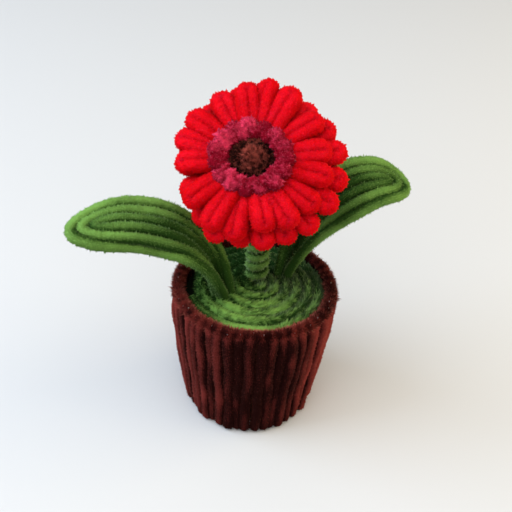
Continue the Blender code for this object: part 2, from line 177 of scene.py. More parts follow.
# painted shade in the troughs of the thread
THREAD_SHADE = 0.15
BUNCH_RISE = 0.45 * MM  # rubbed pile stands up and is drawn together into bunches
BUNCH_SCATTER = 0.3
BUNCH_PULL = 0.7
BUNCH_PULL_INSIDE = 0.4  # the share of that pull in the middle of a bunch
BUNCH_SHADOW = 0.6
BUNCH_WAVES = (0.35, 0.3)  # how crooked the rows of bunches are, along and across
BUNCH_WAVE_PACE = 2.3
DYE_DRIFT = 0.3
DYE_SPAN = 18  # rows of faces
ENDS_ROUND = 0.9 * MM
LEAST_ROWS = 6
DRAWN_COVER = 1.15 * math.pi  # how far round a stem its tufts reach when its back stays plain
GRID_WOBBLE = 0.3
SEAM_MERGE = 0.001 * MM
UV_ROWS = 150
UV_MARGIN = 0.04
STEM_PILE = {
    "around": 14,  # columns of faces round the stem
    "step": 0.55 * MM,  # length of one row of faces
    "bare": 0,  # columns that stay plain, opposite the side that shows
    "loose": 1.0,  # length of the tufts
    "comb": 0.0,  # how far the tufts lean along the stem
    "clump": 0.0,  # how far rubbed pile is drawn together into bunches
    "bunch": (3.2, 4.3),  # tufts across and along one bunch
    "shade": None,  # how light the stem is painted: its own dye, and painted light and shade, for the whole stem or point by point
    "lean": 0.0,  # how far the painted light's lightest side is turned from the one that shows, likewise
}


def read_all(members, key, width=1, kind=float):
    """One value, or one row of them, for each member of one of a mesh's lists."""
    values = np.empty(len(members) * width, kind)
    members.foreach_get(key, values)
    return values.reshape(-1, width) if width > 1 else values


def read_at(places, known, values):
    """Rows of values that are known at some places, as they are at others."""
    return np.stack([np.interp(places, known, column) for column in np.transpose(values)], axis=1)


def evenly(points, count, *followers):
    """Points evenly spaced on the same line, its length, and what the followers are there."""
    steps = np.linalg.norm(np.diff(points, axis=0), axis=1)
    reached = np.concatenate([[0.0], np.cumsum(steps)])
    wanted = np.linspace(0.0, reached[-1], count)
    followed = [read_at(wanted, reached, values) for values in followers]
    return read_at(wanted, reached, points), reached[-1], followed


def slow_waves(count, span, draw):
    """count smooth random values between -1 and 1, which change over about one span of them."""
    knots = draw.uniform(-1, 1, max(3, round(count / span) + 3))
    return np.interp(np.linspace(0, len(knots) - 1, count), np.arange(len(knots)), knots)


def unit(vectors):
    return vectors / np.maximum(np.linalg.norm(vectors, axis=-1, keepdims=True), 1e-12)


def ease(x):
    x = np.clip(x, 0, 1)
    return x * x * (3 - 2 * x)


def crest_angle(across, around, bare):
    """The angle from the side that shows, where across goes from 0 to 1 once round the stem."""
    if not bare:
        return np.interp(across, (0, 1), (-math.pi, math.pi))
    edge = DRAWN_COVER / 2
    places = (0, (around - bare) / around, 1)
    return np.interp(across, places, (-edge, edge, 2 * math.pi - edge))


def stem_tube(line, along, front, reach, length, pile, draw):
    """The closed tube of one stem, with a low tip in each face that is to be drawn out."""
    around, bare, rows = pile["around"], pile["bare"], len(line) - 1
    shape = bmesh.new()
    sheet = shape.loops.layers.uv.new("OFBake")
    tip_of = shape.verts.layers.float.new("pile")
    bmesh.ops.create_grid(shape, x_segments=around, y_segments=rows, size=0.5, calc_uvs=True)
    place = np.array([(vertex.co.x, vertex.co.y) for vertex in shape.verts]) + 0.5
    row = np.rint(place[:, 1] * rows).astype(int)
    column = np.rint(place[:, 0] * around).astype(int)
    wobble = draw.uniform(-GRID_WOBBLE, GRID_WOBBLE, (len(place), 2))
    wobble *= ((row > 0) & (row < rows))[:, None]
    wobble[(column == 0) | (column == around)] = 0.0
    turn = crest_angle(column / around, around, bare) + wobble[:, 0] * (2 * math.pi / around)
    side = np.cross(along, front)
    out = np.cos(turn)[:, None] * front[row] + np.sin(turn)[:, None] * side[row]
    slip = along[row] * (wobble[:, 1] * length / rows)[:, None]
    spot = line[row] + out * reach[row][:, None] + slip
    for vertex, co in zip(shape.verts, spot.tolist()):
        vertex.co = co
    for face in shape.faces:  # until it is drawn out, a face is marked by its material's number
        middle = sum(loop[sheet].uv.x for loop in face.loops) / len(face.loops)
        face.material_index = int(middle * around < around - bare)
    bmesh.ops.remove_doubles(shape, verts=shape.verts, dist=SEAM_MERGE)
    bmesh.ops.recalc_face_normals(shape, faces=shape.faces)
    bmesh.ops.triangulate(shape, faces=[face for face in shape.faces if face.material_index])
    drawn = [face for face in shape.faces if face.material_index]
    for vertex in bmesh.ops.poke(shape, faces=drawn)["verts"]:
        vertex[tip_of] = 1.0
    for face in shape.faces:
        face.material_index = 0
        face.smooth = True
    mesh = bpy.data.meshes.new("stem")
    shape.to_mesh(mesh)
    shape.free()
    return mesh


def bunches(across, row, pile, draw):
    """Which bunch each point of a stem belongs to, laid like bricks, and how near its rim."""
    around = pile["around"]
    wide, tall = pile["bunch"]
    wander = draw.uniform(0, 2 * math.pi, 2)
    tall = row / tall + BUNCH_WAVES[0] * np.sin(across * around + wander[0])
    wide = across * around / wide + 0.5 * (np.floor(tall) % 2)
    wide += BUNCH_WAVES[1] * np.sin(BUNCH_WAVE_PACE * tall + wander[1])
    _, bunch = np.unique(np.floor(tall) * around + np.floor(wide), return_inverse=True)
    return bunch, np.clip(np.hypot(tall % 1 - 0.5, wide % 1 - 0.5) * 2, 0, 1) ** 2


def bunch_means(bunch, values):
    size = np.bincount(bunch)
    return np.stack([np.bincount(bunch, axis) / size for axis in values.T], axis=1)


def chenille(points, radii, facing, draw, **pile):
    """One chenille stem along points: a closed tube whose faces are drawn out into tufts.

    facing is the side that shows most, and STEM_PILE says what else can be given.
    """
    pile = STEM_PILE | pile
    loose, clump = pile["loose"], pile["clump"]
    shade = draw.uniform(0, 1) if pile["shade"] is None else pile["shade"]
    points = np.asarray(points, float)
    rows = max(LEAST_ROWS, round(evenly(points, 2)[1] / pile["step"]))
    followers = [
        np.broadcast_to(values, len(points))[:, None] for values in (radii, shade, pile["lean"])
    ]
    followers.append(np.broadcast_to(facing, points.shape))
    line, length, (radius, shade, lean, front) = evenly(points, rows + 1, *followers)
    along = unit(np.gradient(line, axis=0))
    front = unit(front - np.sum(front * along, axis=1, keepdims=True) * along)
    distance = np.arange(rows + 1) * (length / rows)
    from_end = np.minimum(distance, length - distance)
    cap = np.sqrt(np.clip(1 - np.clip(1 - from_end / ENDS_ROUND, 0, 1) ** 2, 0, 1))
    reach = (radius[:, 0] - TUFT * loose * TUFT_INSIDE) * cap
    mesh = stem_tube(line, along, front, reach, length, pile, draw)

    co = read_all(mesh.vertices, "co", 3)
    normal = read_all(mesh.vertex_normals, "vector", 3)
    tip = read_all(mesh.attributes["pile"].data, "value")
    where = np.zeros((len(co), 2))
    corner = read_all(mesh.loops, "vertex_index", kind=int)
    where[corner] = read_all(mesh.uv_layers["OFBake"].uv, "vector", 2)
    across, share = where.T
    level = np.rint(share * rows).astype(int)
    thread = np.cos(2 * math.pi * (share * length / THREAD - across))
    height = TUFT * loose * (1 - THREAD_DEPTH + THREAD_DEPTH * thread)
    height *= draw.uniform(*TUFT_LENGTHS, len(co)) * tip
    bunch, rim = bunches(across, share * rows, pile, draw)
    middle = bunch_means(bunch, co)
    upright = unit(bunch_means(bunch, normal))
    peak = middle + (upright + draw.normal(0, BUNCH_SCATTER, middle.shape)) * TUFT * loose
    pull = BUNCH_PULL * clump * tip * (BUNCH_PULL_INSIDE + (1 - BUNCH_PULL_INSIDE) * rim)
    co += normal * (BUNCH_RISE * clump * (1 - rim))[:, None]
    co += (normal + draw.normal(0, TUFT_SCATTER, co.shape)) * height[:, None]
    co += (peak[bunch] - co) * pull[:, None]
    co += along[level] * (height * pile["comb"])[:, None]
    mesh.vertices.foreach_set("co", co.ravel())

    # painted shade: the pile is darker in the thread's troughs and round the rims of bunches
    shown = tip * (1 - THREAD_SHADE + THREAD_SHADE * thread) * (1 - BUNCH_SHADOW * clump * rim)
    mesh.attributes["pile"].data.foreach_set("value", np.clip(shown, 0, 1))
    tone = np.where(tip > 0, draw.uniform(0, 1, len(co)), 0.5)
    drift = slow_waves(rows + 1, DYE_SPAN, draw)[level]
    own = draw.uniform(-0.5, 0.5, len(middle))[bunch]
    # the stem's own dye, with the painted light and shade given as its shade
    dye_and_light = shade[level, 0] + DYE_DRIFT * drift + clump * own
    # crest is 1 on the side that shows; the painted side shade and painted light follow it
    crest = np.cos(crest_angle(across, pile["around"], pile["bare"]) - lean[level, 0])
    for name, values in (("tone", tone), ("dye_and_light", dye_and_light), ("crest", crest)):
        mesh.attributes.new(name, "FLOAT", "POINT").data.foreach_set("value", values)
    mesh["rows"] = rows
    return mesh


def lay_maps(stems):
    """Lays the stems' maps side by side, each cut into lengths of UV_ROWS rows."""
    cells = [math.ceil(stem["rows"] / UV_ROWS) for stem in stems]
    for stem, before in zip(stems, np.cumsum([0, *cells])):
        sheet = stem.uv_layers["OFBake"].uv
        across, share = read_all(sheet, "vector", 2).T
        start = read_all(stem.polygons, "loop_start", kind=int)
        corners = np.diff([*start, len(share)])
        middle = np.add.reduceat(share, start) / corners
        cell = np.repeat(np.floor(middle * stem["rows"] / UV_ROWS), corners)
        across = (before + cell + UV_MARGIN + (1 - 2 * UV_MARGIN) * across) / sum(cells)
        share = share * stem["rows"] / UV_ROWS - cell
        sheet.foreach_set("vector", np.stack([across, share], axis=1).ravel())


def put(name, data):
    """Puts a mesh, a light or the camera into the scene."""
    made = bpy.data.objects.new(name, data)
    bpy.context.scene.collection.objects.link(made)
    return made


def gather(name, stems, finish, replaced):
    """Joins the meshes of stems into one piece and puts it into the scene."""
    lay_maps(stems)
    whole = bmesh.new()
    for stem in stems:
        whole.from_mesh(stem)
    mesh = bpy.data.meshes.new(name)
    whole.to_mesh(mesh)
    whole.free()
    for stem in stems:
        bpy.data.meshes.remove(stem)
    mesh.materials.append(finish.material)
    piece = put(name, mesh)
    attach(piece, "root")
    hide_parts(*replaced)


PLAIN_PILE = {
    "scale": 90,  # how fine the cloudy patches are, and grain stretches them along x, y and z
    "grain": (1, 1, 1),
    "cloudy": 0.7,
    "tufts": 0.65,  # painted shade: how much darker the roots of the tufts are than their tips
    "fibres": 0.35,  # how much one tuft differs from the next
    "uneven": 0.2,  # how much the dye and the painted light and shade show
    "ridge": 0.2,  # painted shade: how much darker a stem gets towards its sides and in the grooves between stems
    "level": 0.0,  # how much darker all of it is
    "flecks": 0.8,  # the share of the tufts without a paler fibre
    "glow": 0.0,  # how much of the light comes back out through the pile
}
# the crest at which the painted side shade neither darkens nor lightens
SIDE_SHADE_EVEN = 0.8
FLECK_GAIN = 4.0
# pale fibres fade towards the sides with the painted side shade
FLECK_AT_SIDES = 0.3


def pile_finish(name, root, tip, fleck, sheen, **looks):
    """Chenille: painted shade between the fibres and down its sides, lighter towards the fibres'
    ends, with single paler fibres.
    """
    looks = PLAIN_PILE | looks
    finish = Finish(
        name,
        Roughness=0.85,
        Sheen_Weight=sheen[0],
        Sheen_Roughness=0.35,
        Sheen_Tint=(*sheen[1], 1.0),
        Specular_IOR_Level=0.05,
        Subsurface_Weight=looks["glow"],
        Subsurface_Radius=tip,
        Subsurface_Scale=PILE,
    )
    pile = finish.attribute("pile")
    tone = finish.attribute("tone")
    noise = finish.noise(looks["scale"], detail=3, grain=looks["grain"])
    cloud = (noise - 0.5) * looks["cloudy"]
    dye_and_light = (finish.attribute("dye_and_light") - 0.5) * looks["uneven"]
    crest = finish.attribute("crest")
    relief = pile * looks["tufts"] + tone * looks["fibres"] + (crest - SIDE_SHADE_EVEN) * looks["ridge"]
    depth = relief + cloud + dye_and_light - looks["level"]
    body = finish.mix(depth, root, tip)
    single = (tone - looks["flecks"]) * FLECK_GAIN * pile * (crest + FLECK_AT_SIDES)
    finish.feed("Base Color", finish.mix(single, body, fleck))
    return finish


POT_HEIGHT = 66 * MM
POT_TOP_RADIUS = 40 * MM
POT_BASE_RADIUS = 31.2 * MM
POT_BELLY = 1.5  # above 1, the side swells between foot and rim
POT_STEMS = 48
POT_STEM_THIN = 2.7 * MM  # the stems are pressed thinner at the foot, where they crowd
POT_STEM_WIDE = 3.15 * MM
POT_STEM_FULL = (0.92, 1.15)  # of the thinnest stem and the fullest
POT_STEM_OFF = 0.16  # how far a stem is off its place, in stems
POT_STEM_OUT = (-1.2 * MM, 0.4 * MM)  # the one that stands furthest in and the one furthest out
POT_STEM_ENDS = (1.0 * MM, 0.8 * MM)  # how far they end above the table and below the rim
POT_STEM_POINTS = 45
POT_SWAY = 0.85 * MM
POT_SWAY_SPAN = 15  # points
POT_BULGE = 0.45 * MM
POT_BULGE_SPAN = 11
POT_FOOT_SIDE = math.radians(266)  # the foot is spread, most of all on this side
POT_FOOT_SPREAD = (0.3 * MM, 2.5 * MM)  # all round, and what this side adds
POT_FOOT_HEIGHT = 24 * MM
POT_TOP_HEIGHT = 8 * MM  # the stems bend in under the rim
POT_TOP_BEND = 0.8 * MM
POT_SHADED_SIDE = math.radians(280)  # painted shade: the front of the pot is painted darkest on this side
POT_SHADE_DEEPEST = -0.25
POT_LIT_AWAY = 0.62  # painted light, away from it
POT_UNEVEN = (0.14, 0.3)  # how much stems differ at random on the shaded side, and what is added away from it
# painted light on the pot's right side, and near the rim
POT_LIT_SIDE = math.radians(345)
POT_LIT_MOST = 0.45
POT_TOP_PAINTED_LIGHT = 0.6
RIM_THICK = 3.2 * MM
RIM_UNEVEN = (0.10, 0.07)  # in thickness, from stem to stem and in slow waves
RIM_INSIDE = 0.55 * MM
RIM_WANDER = 0.3 * MM
RIM_ABOVE = 1.5 * MM
RIM_LIGHT = (0.5, 0.3, 0.4)  # how light it is, how much darker as painted shade between the stems' ends, and how much it differs in slow waves
# painted shade on the rim's back right
RIM_SHADED_SIDE = math.radians(25)
RIM_SHADE = 0.7
RIM_STEPS = 40  # for each stem
UPWARD = np.array((0.0, 0.0, 1.0))


def pot_radius(z):
    swell = 1 - (1 - np.clip(z / POT_HEIGHT, 0, 1)) ** POT_BELLY
    return POT_BASE_RADIUS + (POT_TOP_RADIUS - POT_BASE_RADIUS) * swell


def towards(side, around, narrow=4):
    """1 on one side of the pot, falling to 0 on both hands."""
    return np.clip(np.cos(around - side), 0, 1) ** narrow


def pot_stem(number, draw, **pile):
    """One stem of the wall, from the foot to the rim."""
    own = np.random.default_rng(500 + number)
    z = np.linspace(POT_STEM_ENDS[0], POT_HEIGHT - POT_STEM_ENDS[1], POT_STEM_POINTS)
    sway = slow_waves(len(z), POT_SWAY_SPAN, own) * POT_SWAY
    bulge = slow_waves(len(z), POT_BULGE_SPAN, own) * POT_BULGE + own.uniform(*POT_STEM_OUT)
    full = own.uniform(*POT_STEM_FULL)
    around = 2 * math.pi * (number + own.uniform(-POT_STEM_OFF, POT_STEM_OFF)) / POT_STEMS
    thick = (POT_STEM_THIN + (POT_STEM_WIDE - POT_STEM_THIN) * z / POT_HEIGHT) * full
    spread = POT_FOOT_SPREAD[0] + POT_FOOT_SPREAD[1] * towards(POT_FOOT_SIDE, around)
    foot = spread * ease(1 - z / POT_FOOT_HEIGHT)
    top = ease((z - POT_HEIGHT) / POT_TOP_HEIGHT + 1)
    out = pot_radius(z) - thick + foot + bulge * (1 - top) - POT_TOP_BEND * top
    outward = np.array((math.cos(around), math.sin(around), 0.0))
    beside = np.array((-math.sin(around), math.cos(around), 0.0))
    line = outward * out[:, None] + beside * sway[:, None]
    line[:, 2] = z
    # painted shade on the front, painted light on the right side and under the rim, and stems that
    # differ at random
    away = 1 - towards(POT_SHADED_SIDE, around)
    shade = POT_SHADE_DEEPEST + POT_LIT_AWAY * away + POT_TOP_PAINTED_LIGHT * top
    shade += POT_LIT_MOST * towards(POT_LIT_SIDE, around)
    shade += (POT_UNEVEN[0] + POT_UNEVEN[1] * away) * own.uniform(-1, 1)
    return chenille(line, thick, outward, draw, shade=shade, **pile)


pot_brown = pile_finish(
    "Brown chenille",
    root=(0.017, 0.0024, 0.0020),
    tip=(0.245, 0.036, 0.029),
    fleck=(0.28, 0.070, 0.056),
    sheen=(0.1, (0.95, 0.25, 0.18)),
    scale=260,
    grain=(1, 1, 0.15),
    cloudy=0.8,
    tufts=0.5,
    uneven=1.0,
    ridge=1.2,
    level=-0.13,
)
for half, first in (("front", POT_STEMS // 2), ("back", 0)):
    draw = np.random.default_rng(21 + first)
    pile = {"bare": 4, "around": 15, "loose": 0.85, "step": 0.78 * MM}
    numbers = range(first, first + POT_STEMS // 2)
    walls = [pot_stem(number, draw, **pile) for number in numbers]
    gather("pot_stems_" + half, walls, pot_brown, ["pot_wall"])
cut_brown = pile_finish(
    "Brown chenille, cut ends",
    root=(0.018, 0.0020, 0.0018),
    tip=(0.20, 0.029, 0.021),
    fleck=(0.34, 0.085, 0.060),
    sheen=(0.5, (0.95, 0.28, 0.20)),
    cloudy=1.0,
    uneven=0.6,
)
draw = np.random.default_rng(23)
around = np.linspace(0, 2 * math.pi, RIM_STEPS * POT_STEMS)
ripple = np.cos(POT_STEMS * around)
waves = slow_waves(len(around), 60, draw)
thick = RIM_THICK * (1 + RIM_UNEVEN[0] * ripple + RIM_UNEVEN[1] * waves)
out = POT_TOP_RADIUS - RIM_THICK - RIM_INSIDE + RIM_WANDER * slow_waves(len(around), 50, draw)
height = POT_HEIGHT + RIM_ABOVE - thick
band = np.stack([out * np.cos(around), out * np.sin(around), height], axis=1)
waves = slow_waves(len(around), 25, draw)
# painted shade between the stems' ends and on the back right, with slow random waves
shade = RIM_LIGHT[0] + RIM_LIGHT[1] * ripple + RIM_LIGHT[2] * waves
shade -= RIM_SHADE * towards(RIM_SHADED_SIDE, around, narrow=2)
pile = {"loose": 2.4, "clump": 0.4, "around": 20, "bare": 5, "shade": shade}
ends = [chenille(band, thick, UPWARD, draw, **pile)]
gather("pot_rim_ends", ends, cut_brown, ["pot_wall"])


# Every stem of the pot has its wires cut off level at the rim. The bright cut ends stand a
# hair's breadth out of the pile, as one short twisted pair for each stem.

WIRE_END_RADIUS = 0.26 * MM
WIRE_END_LENGTH = 3.2 * MM
WIRE_END_SIDES = 8
WIRE_END_OFF = (0.15, 0.8 * MM)  # off its place at most: round the rim, in stems, and across it
WIRE_END_DOWN = (0.4 * MM, 2.6 * MM)
WIRE_TILT = 0.35  # radians, at most
WIRE_ROUGHNESS = (0.15, 0.3)  # of the bright steel, and how much its grain adds

steel = Finish("Steel wire", Metallic=1.0, Base_Color=(0.72, 0.72, 0.74, 1.0))
steel_grain = steel.noise(3000, detail=2)
steel.feed("Roughness", steel_grain * WIRE_ROUGHNESS[1] + WIRE_ROUGHNESS[0])
pins = bmesh.new()
draw = np.random.default_rng(31)
for number in range(POT_STEMS):
    around, out = (draw.uniform(-most, most) for most in WIRE_END_OFF)
    around = 2 * math.pi * (number + around) / POT_STEMS
    out += POT_TOP_RADIUS - PILE
    height = POT_HEIGHT - draw.uniform(*WIRE_END_DOWN)
    place = Matrix.Translation((out * math.cos(around), out * math.sin(around), height))
    tilts = [Matrix.Rotation(draw.uniform(-WIRE_TILT, WIRE_TILT), 4, axis) for axis in "XY"]
    bmesh.ops.create_cone(
        pins,
        cap_ends=True,
        segments=WIRE_END_SIDES,
        radius1=WIRE_END_RADIUS,
        radius2=WIRE_END_RADIUS,
        depth=WIRE_END_LENGTH,
        matrix=place @ (tilts[0] @ tilts[1]),
    )
pin_mesh = bpy.data.meshes.new("pot_wire_ends")
pins.to_mesh(pin_mesh)
pins.free()
pin_mesh.materials.append(steel.material)
wire_ends = put("pot_wire_ends", pin_mesh)
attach(wire_ends, "root")


# The soil is a moss green stem coiled flat on the filling, five turns from the edge to the
# middle. The outer turn is combed smooth, and the inner ones are rubbed up into small tufts.

MOSS_RADIUS = 33.2 * MM
MOSS_PITCH = 5.3 * MM
MOSS_EDGE_TOP = 64.3 * MM
MOSS_DOME = 2.2 * MM
MOSS_FIRST = math.radians(197)
MOSS_COMBED = 0.27  # turns, from the coil's outer end
MOSS_LAST = 5.6
MOSS_STEP_FROM = 0.72  # the share of a turn where the coil starts to step inwards
MOSS_STEP_LONG = 0.26
MOSS_STEPS = 60  # for each turn
MOSS_WANDER = 0.35 * MM
MOSS_UPS = 0.4 * MM
# painted light towards the front, painted shade at the back and sides
MOSS_FRONT_LIGHT = 0.6
MOSS_BACK_SHADE = 0.6
MOSS_SIDES_SHADE = 0.5
MOSS_PATCHES = 0.2

moss_green = pile_finish(
    "Moss green chenille",
    root=(0.012, 0.042, 0.006),
    tip=(0.235, 0.48, 0.105),
    fleck=(0.44, 0.62, 0.20),
    sheen=(0.1, (0.7, 0.95, 0.5)),
    scale=260,
    cloudy=1.1,
    uneven=1.0,
    ridge=0.9,
    level=0.18,
    flecks=0.72,
)


def moss_turn(first, last, thick, light, draw, **pile):
    """The coil between two turns, counted from the edge; painted light towards the front, painted
    shade at the back and sides.
    """
    turned = np.linspace(first, last, round((last - first) * MOSS_STEPS) + 1)
    inward = np.floor(turned) + ease((turned % 1 - MOSS_STEP_FROM) / MOSS_STEP_LONG)
    out = np.clip(MOSS_RADIUS - PILE - MOSS_PITCH * inward, 0, None)
    around = 2 * math.pi * turned + MOSS_FIRST
    crest = MOSS_EDGE_TOP + MOSS_DOME * (1 - (out / MOSS_RADIUS) ** 2)
    out = out + slow_waves(len(turned), 14, draw) * MOSS_WANDER
    line = np.stack([out * np.cos(around), out * np.sin(around), crest - PILE], axis=1)
    line[:, 2] += slow_waves(len(turned), 10, draw) * MOSS_UPS
    right, back, _ = line.T / MOSS_RADIUS
    shade = light - MOSS_FRONT_LIGHT * (back + 0.2 * right)
    shade -= MOSS_BACK_SHADE * np.clip(back, 0, None) + MOSS_SIDES_SHADE * right**2
    shade += MOSS_PATCHES * slow_waves(len(turned), 12, draw)
    return chenille(line, thick, UPWARD, draw, shade=shade, **pile)


draw = np.random.default_rng(41)
pile = {"bare": 3, "around": 17, "step": 0.62 * MM, "bunch": (1.5, 4), "comb": 0.8}
combed = pile | {"loose": 1.2, "clump": 0.15}
rubbed = pile | {"loose": 2.1, "clump": 0.65}
coil = [
    moss_turn(0, MOSS_COMBED, PILE * 1.04, 0.25, draw, **combed),
    moss_turn(MOSS_COMBED, MOSS_LAST, PILE * 1.2, 0.44, draw, **rubbed),
]
gather("moss", coil, moss_green, ["moss_coil"])


# The flower's stem is a steel wire with a light green stem wound round it, turn against turn.
# The last turns are wound wider, as the green cup under the petals.

HEAD_CENTRE = Vector((-4.5 * MM, -4 * MM, 136 * MM))
HEAD_UP = math.radians(46)
HEAD_LEFT = math.radians(8)
LAYER_STEP = 7 * MM
STEM_FOOT = Vector((0.5 * MM, 7 * MM, 20 * MM))
WRAP_STRAND = 2.5 * MM
WRAP_HELIX = 3.2 * MM
WRAP_PITCH = 5 * MM
WRAP_START = 59 * MM
WRAP_PROUD = 0.3 * MM  # how far the pile stands out of the strand
WRAP_LOOSE = 0.35 * MM  # how far a turn lies off the wire
WRAP_UNEVEN = 0.5  # radians
CUP_HELIX = 5.6 * MM
CUP_LENGTH = 8 * MM


def head_frame():
    """From the flower's own right, up and outward directions to the room's."""
    out = Vector(
        (
            -math.sin(HEAD_LEFT) * math.cos(HEAD_UP),
            -math.cos(HEAD_LEFT) * math.cos(HEAD_UP),
            math.sin(HEAD_UP),
        )
    )
    right = Vector((0, 0, 1)).cross(out).normalized()
    up = out.cross(right)
    return Matrix.Translation(HEAD_CENTRE) @ Matrix((right, up, out)).transposed().to_4x4()


def smooth_line(knots, per_gap=24):
    """The smooth curve through knots."""
    knots = [Vector(knot) for knot in knots]
    ends = [2 * knots[0] - knots[1], *knots, 2 * knots[-1] - knots[-2]]
    line = []
    for a, b, c, d in zip(ends, ends[1:], ends[2:], ends[3:]):
        square = 2 * a - 5 * b + 4 * c - d
        cube = 3 * b - a - 3 * c + d
        for step in range(per_gap):
            t = step / per_gap
            line.append((2 * b + (c - a) * t + square * t**2 + cube * t**3) / 2)
    line.append(knots[-1])
    return np.array([tuple(point) for point in line])


head = head_frame()
stem_knots = [
    STEM_FOOT,
    Vector((*STEM_FOOT.xy, 44 * MM)),
    Vector((*STEM_FOOT.xy, 68 * MM)),
    Vector((0, 8.8 * MM, 90 * MM)),
    Vector((-1.3 * MM, 10.8 * MM, 109 * MM)),
    *(head @ Vector((0, 0, height * MM)) for height in (-18, -11, -4, 2.4)),
]
stem_line, _, _ = evenly(smooth_line(stem_knots), 400)
to_head = head.inverted()
under_head = np.array([(to_head @ Vector(point)).z for point in stem_line])
wrap_end = -1.5 * LAYER_STEP - WRAP_STRAND * 0.4
covered = (stem_line[:, 2] > WRAP_START) & (under_head < wrap_end)
core, wrap_length, _ = evenly(stem_line[covered], 2000)
along = unit(np.gradient(core, axis=0))
across = unit(np.cross(np.array((0.0, 1.0, 0.0)), along))
other = np.cross(along, across)
gone = np.linspace(0, wrap_length, len(core))
cup = ease(1 - (wrap_length - gone) / CUP_LENGTH)
draw = np.random.default_rng(51)
helix = WRAP_HELIX + (CUP_HELIX - WRAP_HELIX) * cup
helix += WRAP_LOOSE * slow_waves(len(core), 70, draw)
turn = 2 * math.pi * gone / WRAP_PITCH + WRAP_UNEVEN * slow_waves(len(core), 150, draw)
spoke = across * np.cos(turn)[:, None] + other * np.sin(turn)[:, None]
wound = core + spoke * helix[:, None]
stem_green = pile_finish(
    "Stem green chenille",
    root=(0.018, 0.050, 0.007),
    tip=(0.27, 0.50, 0.115),
    fleck=(0.56, 0.76, 0.34),
    sheen=(0.45, (0.65, 0.9, 0.45)),
    cloudy=1.1,
    ridge=0.9,
)
pile = {"loose": 1.6, "clump": 0.3, "shade": 0.5}
winding = [chenille(wound, WRAP_STRAND + WRAP_PROUD, spoke, draw, **pile)]
gather("stem_winding", winding, stem_green, ["stem_wrap"])
dress("stem_wire", steel)


# Each leaf is three loops of green chenille stem, one inside the other and bent along the middle.
# Their six ends are pressed together into one root, which is pushed down into the filling.

LEAF_STRAND = 2.7 * MM
LEAF_ROOT_STRAND = 1.9 * MM
LEAF_PROUD = 0.35 * MM  # how far the pile stands out of the strand
LEAF_STEP = 0.6 * MM
LEAF_PITCH = 5.5 * MM
LEAF_ROOT_ROW = 2.6 * MM
LEAF_FAN_START = 14 * MM  # the strands spread out between these places
LEAF_FAN_END = 76 * MM
LEAF_FOLD_PLACES = (-14, -8, -3, 3, 8, 14)
LEAF_NEAR_EDGE = 4 * MM  # how far across the painted light on the near edge fades
# painted shade near the root, under the flower
LEAF_ROOT_SHADE = 0.9
LEAF_LOOPS = (
    # the length of a loop's round end, how far it ends short of the leaf's tip, how light it is
    # painted (painted shade inside, painted light outside), whether painted light is turned
    # outwards, and how loose its pile is
    (11 * MM, 10.3 * MM, -0.35, 0, 1.35),
    (24 * MM, 4.8 * MM, 0.25, 0, 1.35),
    (36 * MM, 0.0, 0.5, 1, 1.15),
)

LEFT_LEAF = {
    "foot": (-14 * MM, -8 * MM),
    "heading": math.radians(197),
    # how far out the spine is and how high, in mm
    "profile": ((0, 46), (0, 57), (1.0, 68), (9, 88.5), (23, 103), (45, 111.2), (69, 109.6)),
    "bank": (58, 52, 20, 10, 8),  # degrees that it is rolled over, from root to tip
    "fold": (-18, -8, 0, -10, -44, -160),  # degrees, at LEAF_FOLD_PLACES across it in mm
    "width": 0.91,
    "near": -1,  # which hand's edge is the near one
    "edge_light_turn": 1.2,  # how far the painted light is turned there, in radians
    # painted light and shade over the whole leaf
    "shade": -0.25,
    "tip_light": 1.0,  # painted light: how much lighter it gets towards the tip
}
RIGHT_LEAF = {
    "foot": (13 * MM, 11 * MM),
    "heading": math.radians(22),
    "profile": ((0, 46), (0, 57), (1.0, 68), (10, 89), (26, 105.5), (43, 110), (59, 104.4)),
    "bank": (-58, -52, -38, -32, -30),
    "fold": (-25, -5, 5, 2, -8, -35),
    "width": 0.87,
    "near": 1,
    "edge_light_turn": 1.1,
    "shade": 0.0,
    "tip_light": 0.45,
}


def fold_leaf(leaf, across):
    """Bends the flat leaf along its midrib: where a strand comes to lie across it, and how high."""
    places = np.linspace(-16, 16, 129)
    slopes = np.radians(np.interp(places, LEAF_FOLD_PLACES, leaf["fold"]))
    slopes = (slopes[1:] + slopes[:-1]) / 2
    gap = (places[1] - places[0]) * MM
    beside = np.concatenate([[0.0], np.cumsum(np.cos(slopes) * gap)])
    height = np.concatenate([[0.0], np.cumsum(np.sin(slopes) * gap)])
    reached = across * leaf["near"] / MM
    middle = len(places) // 2
    beside = np.interp(reached, places, beside - beside[middle]) * leaf["near"]
    return beside, np.interp(reached, places, height - height[middle])


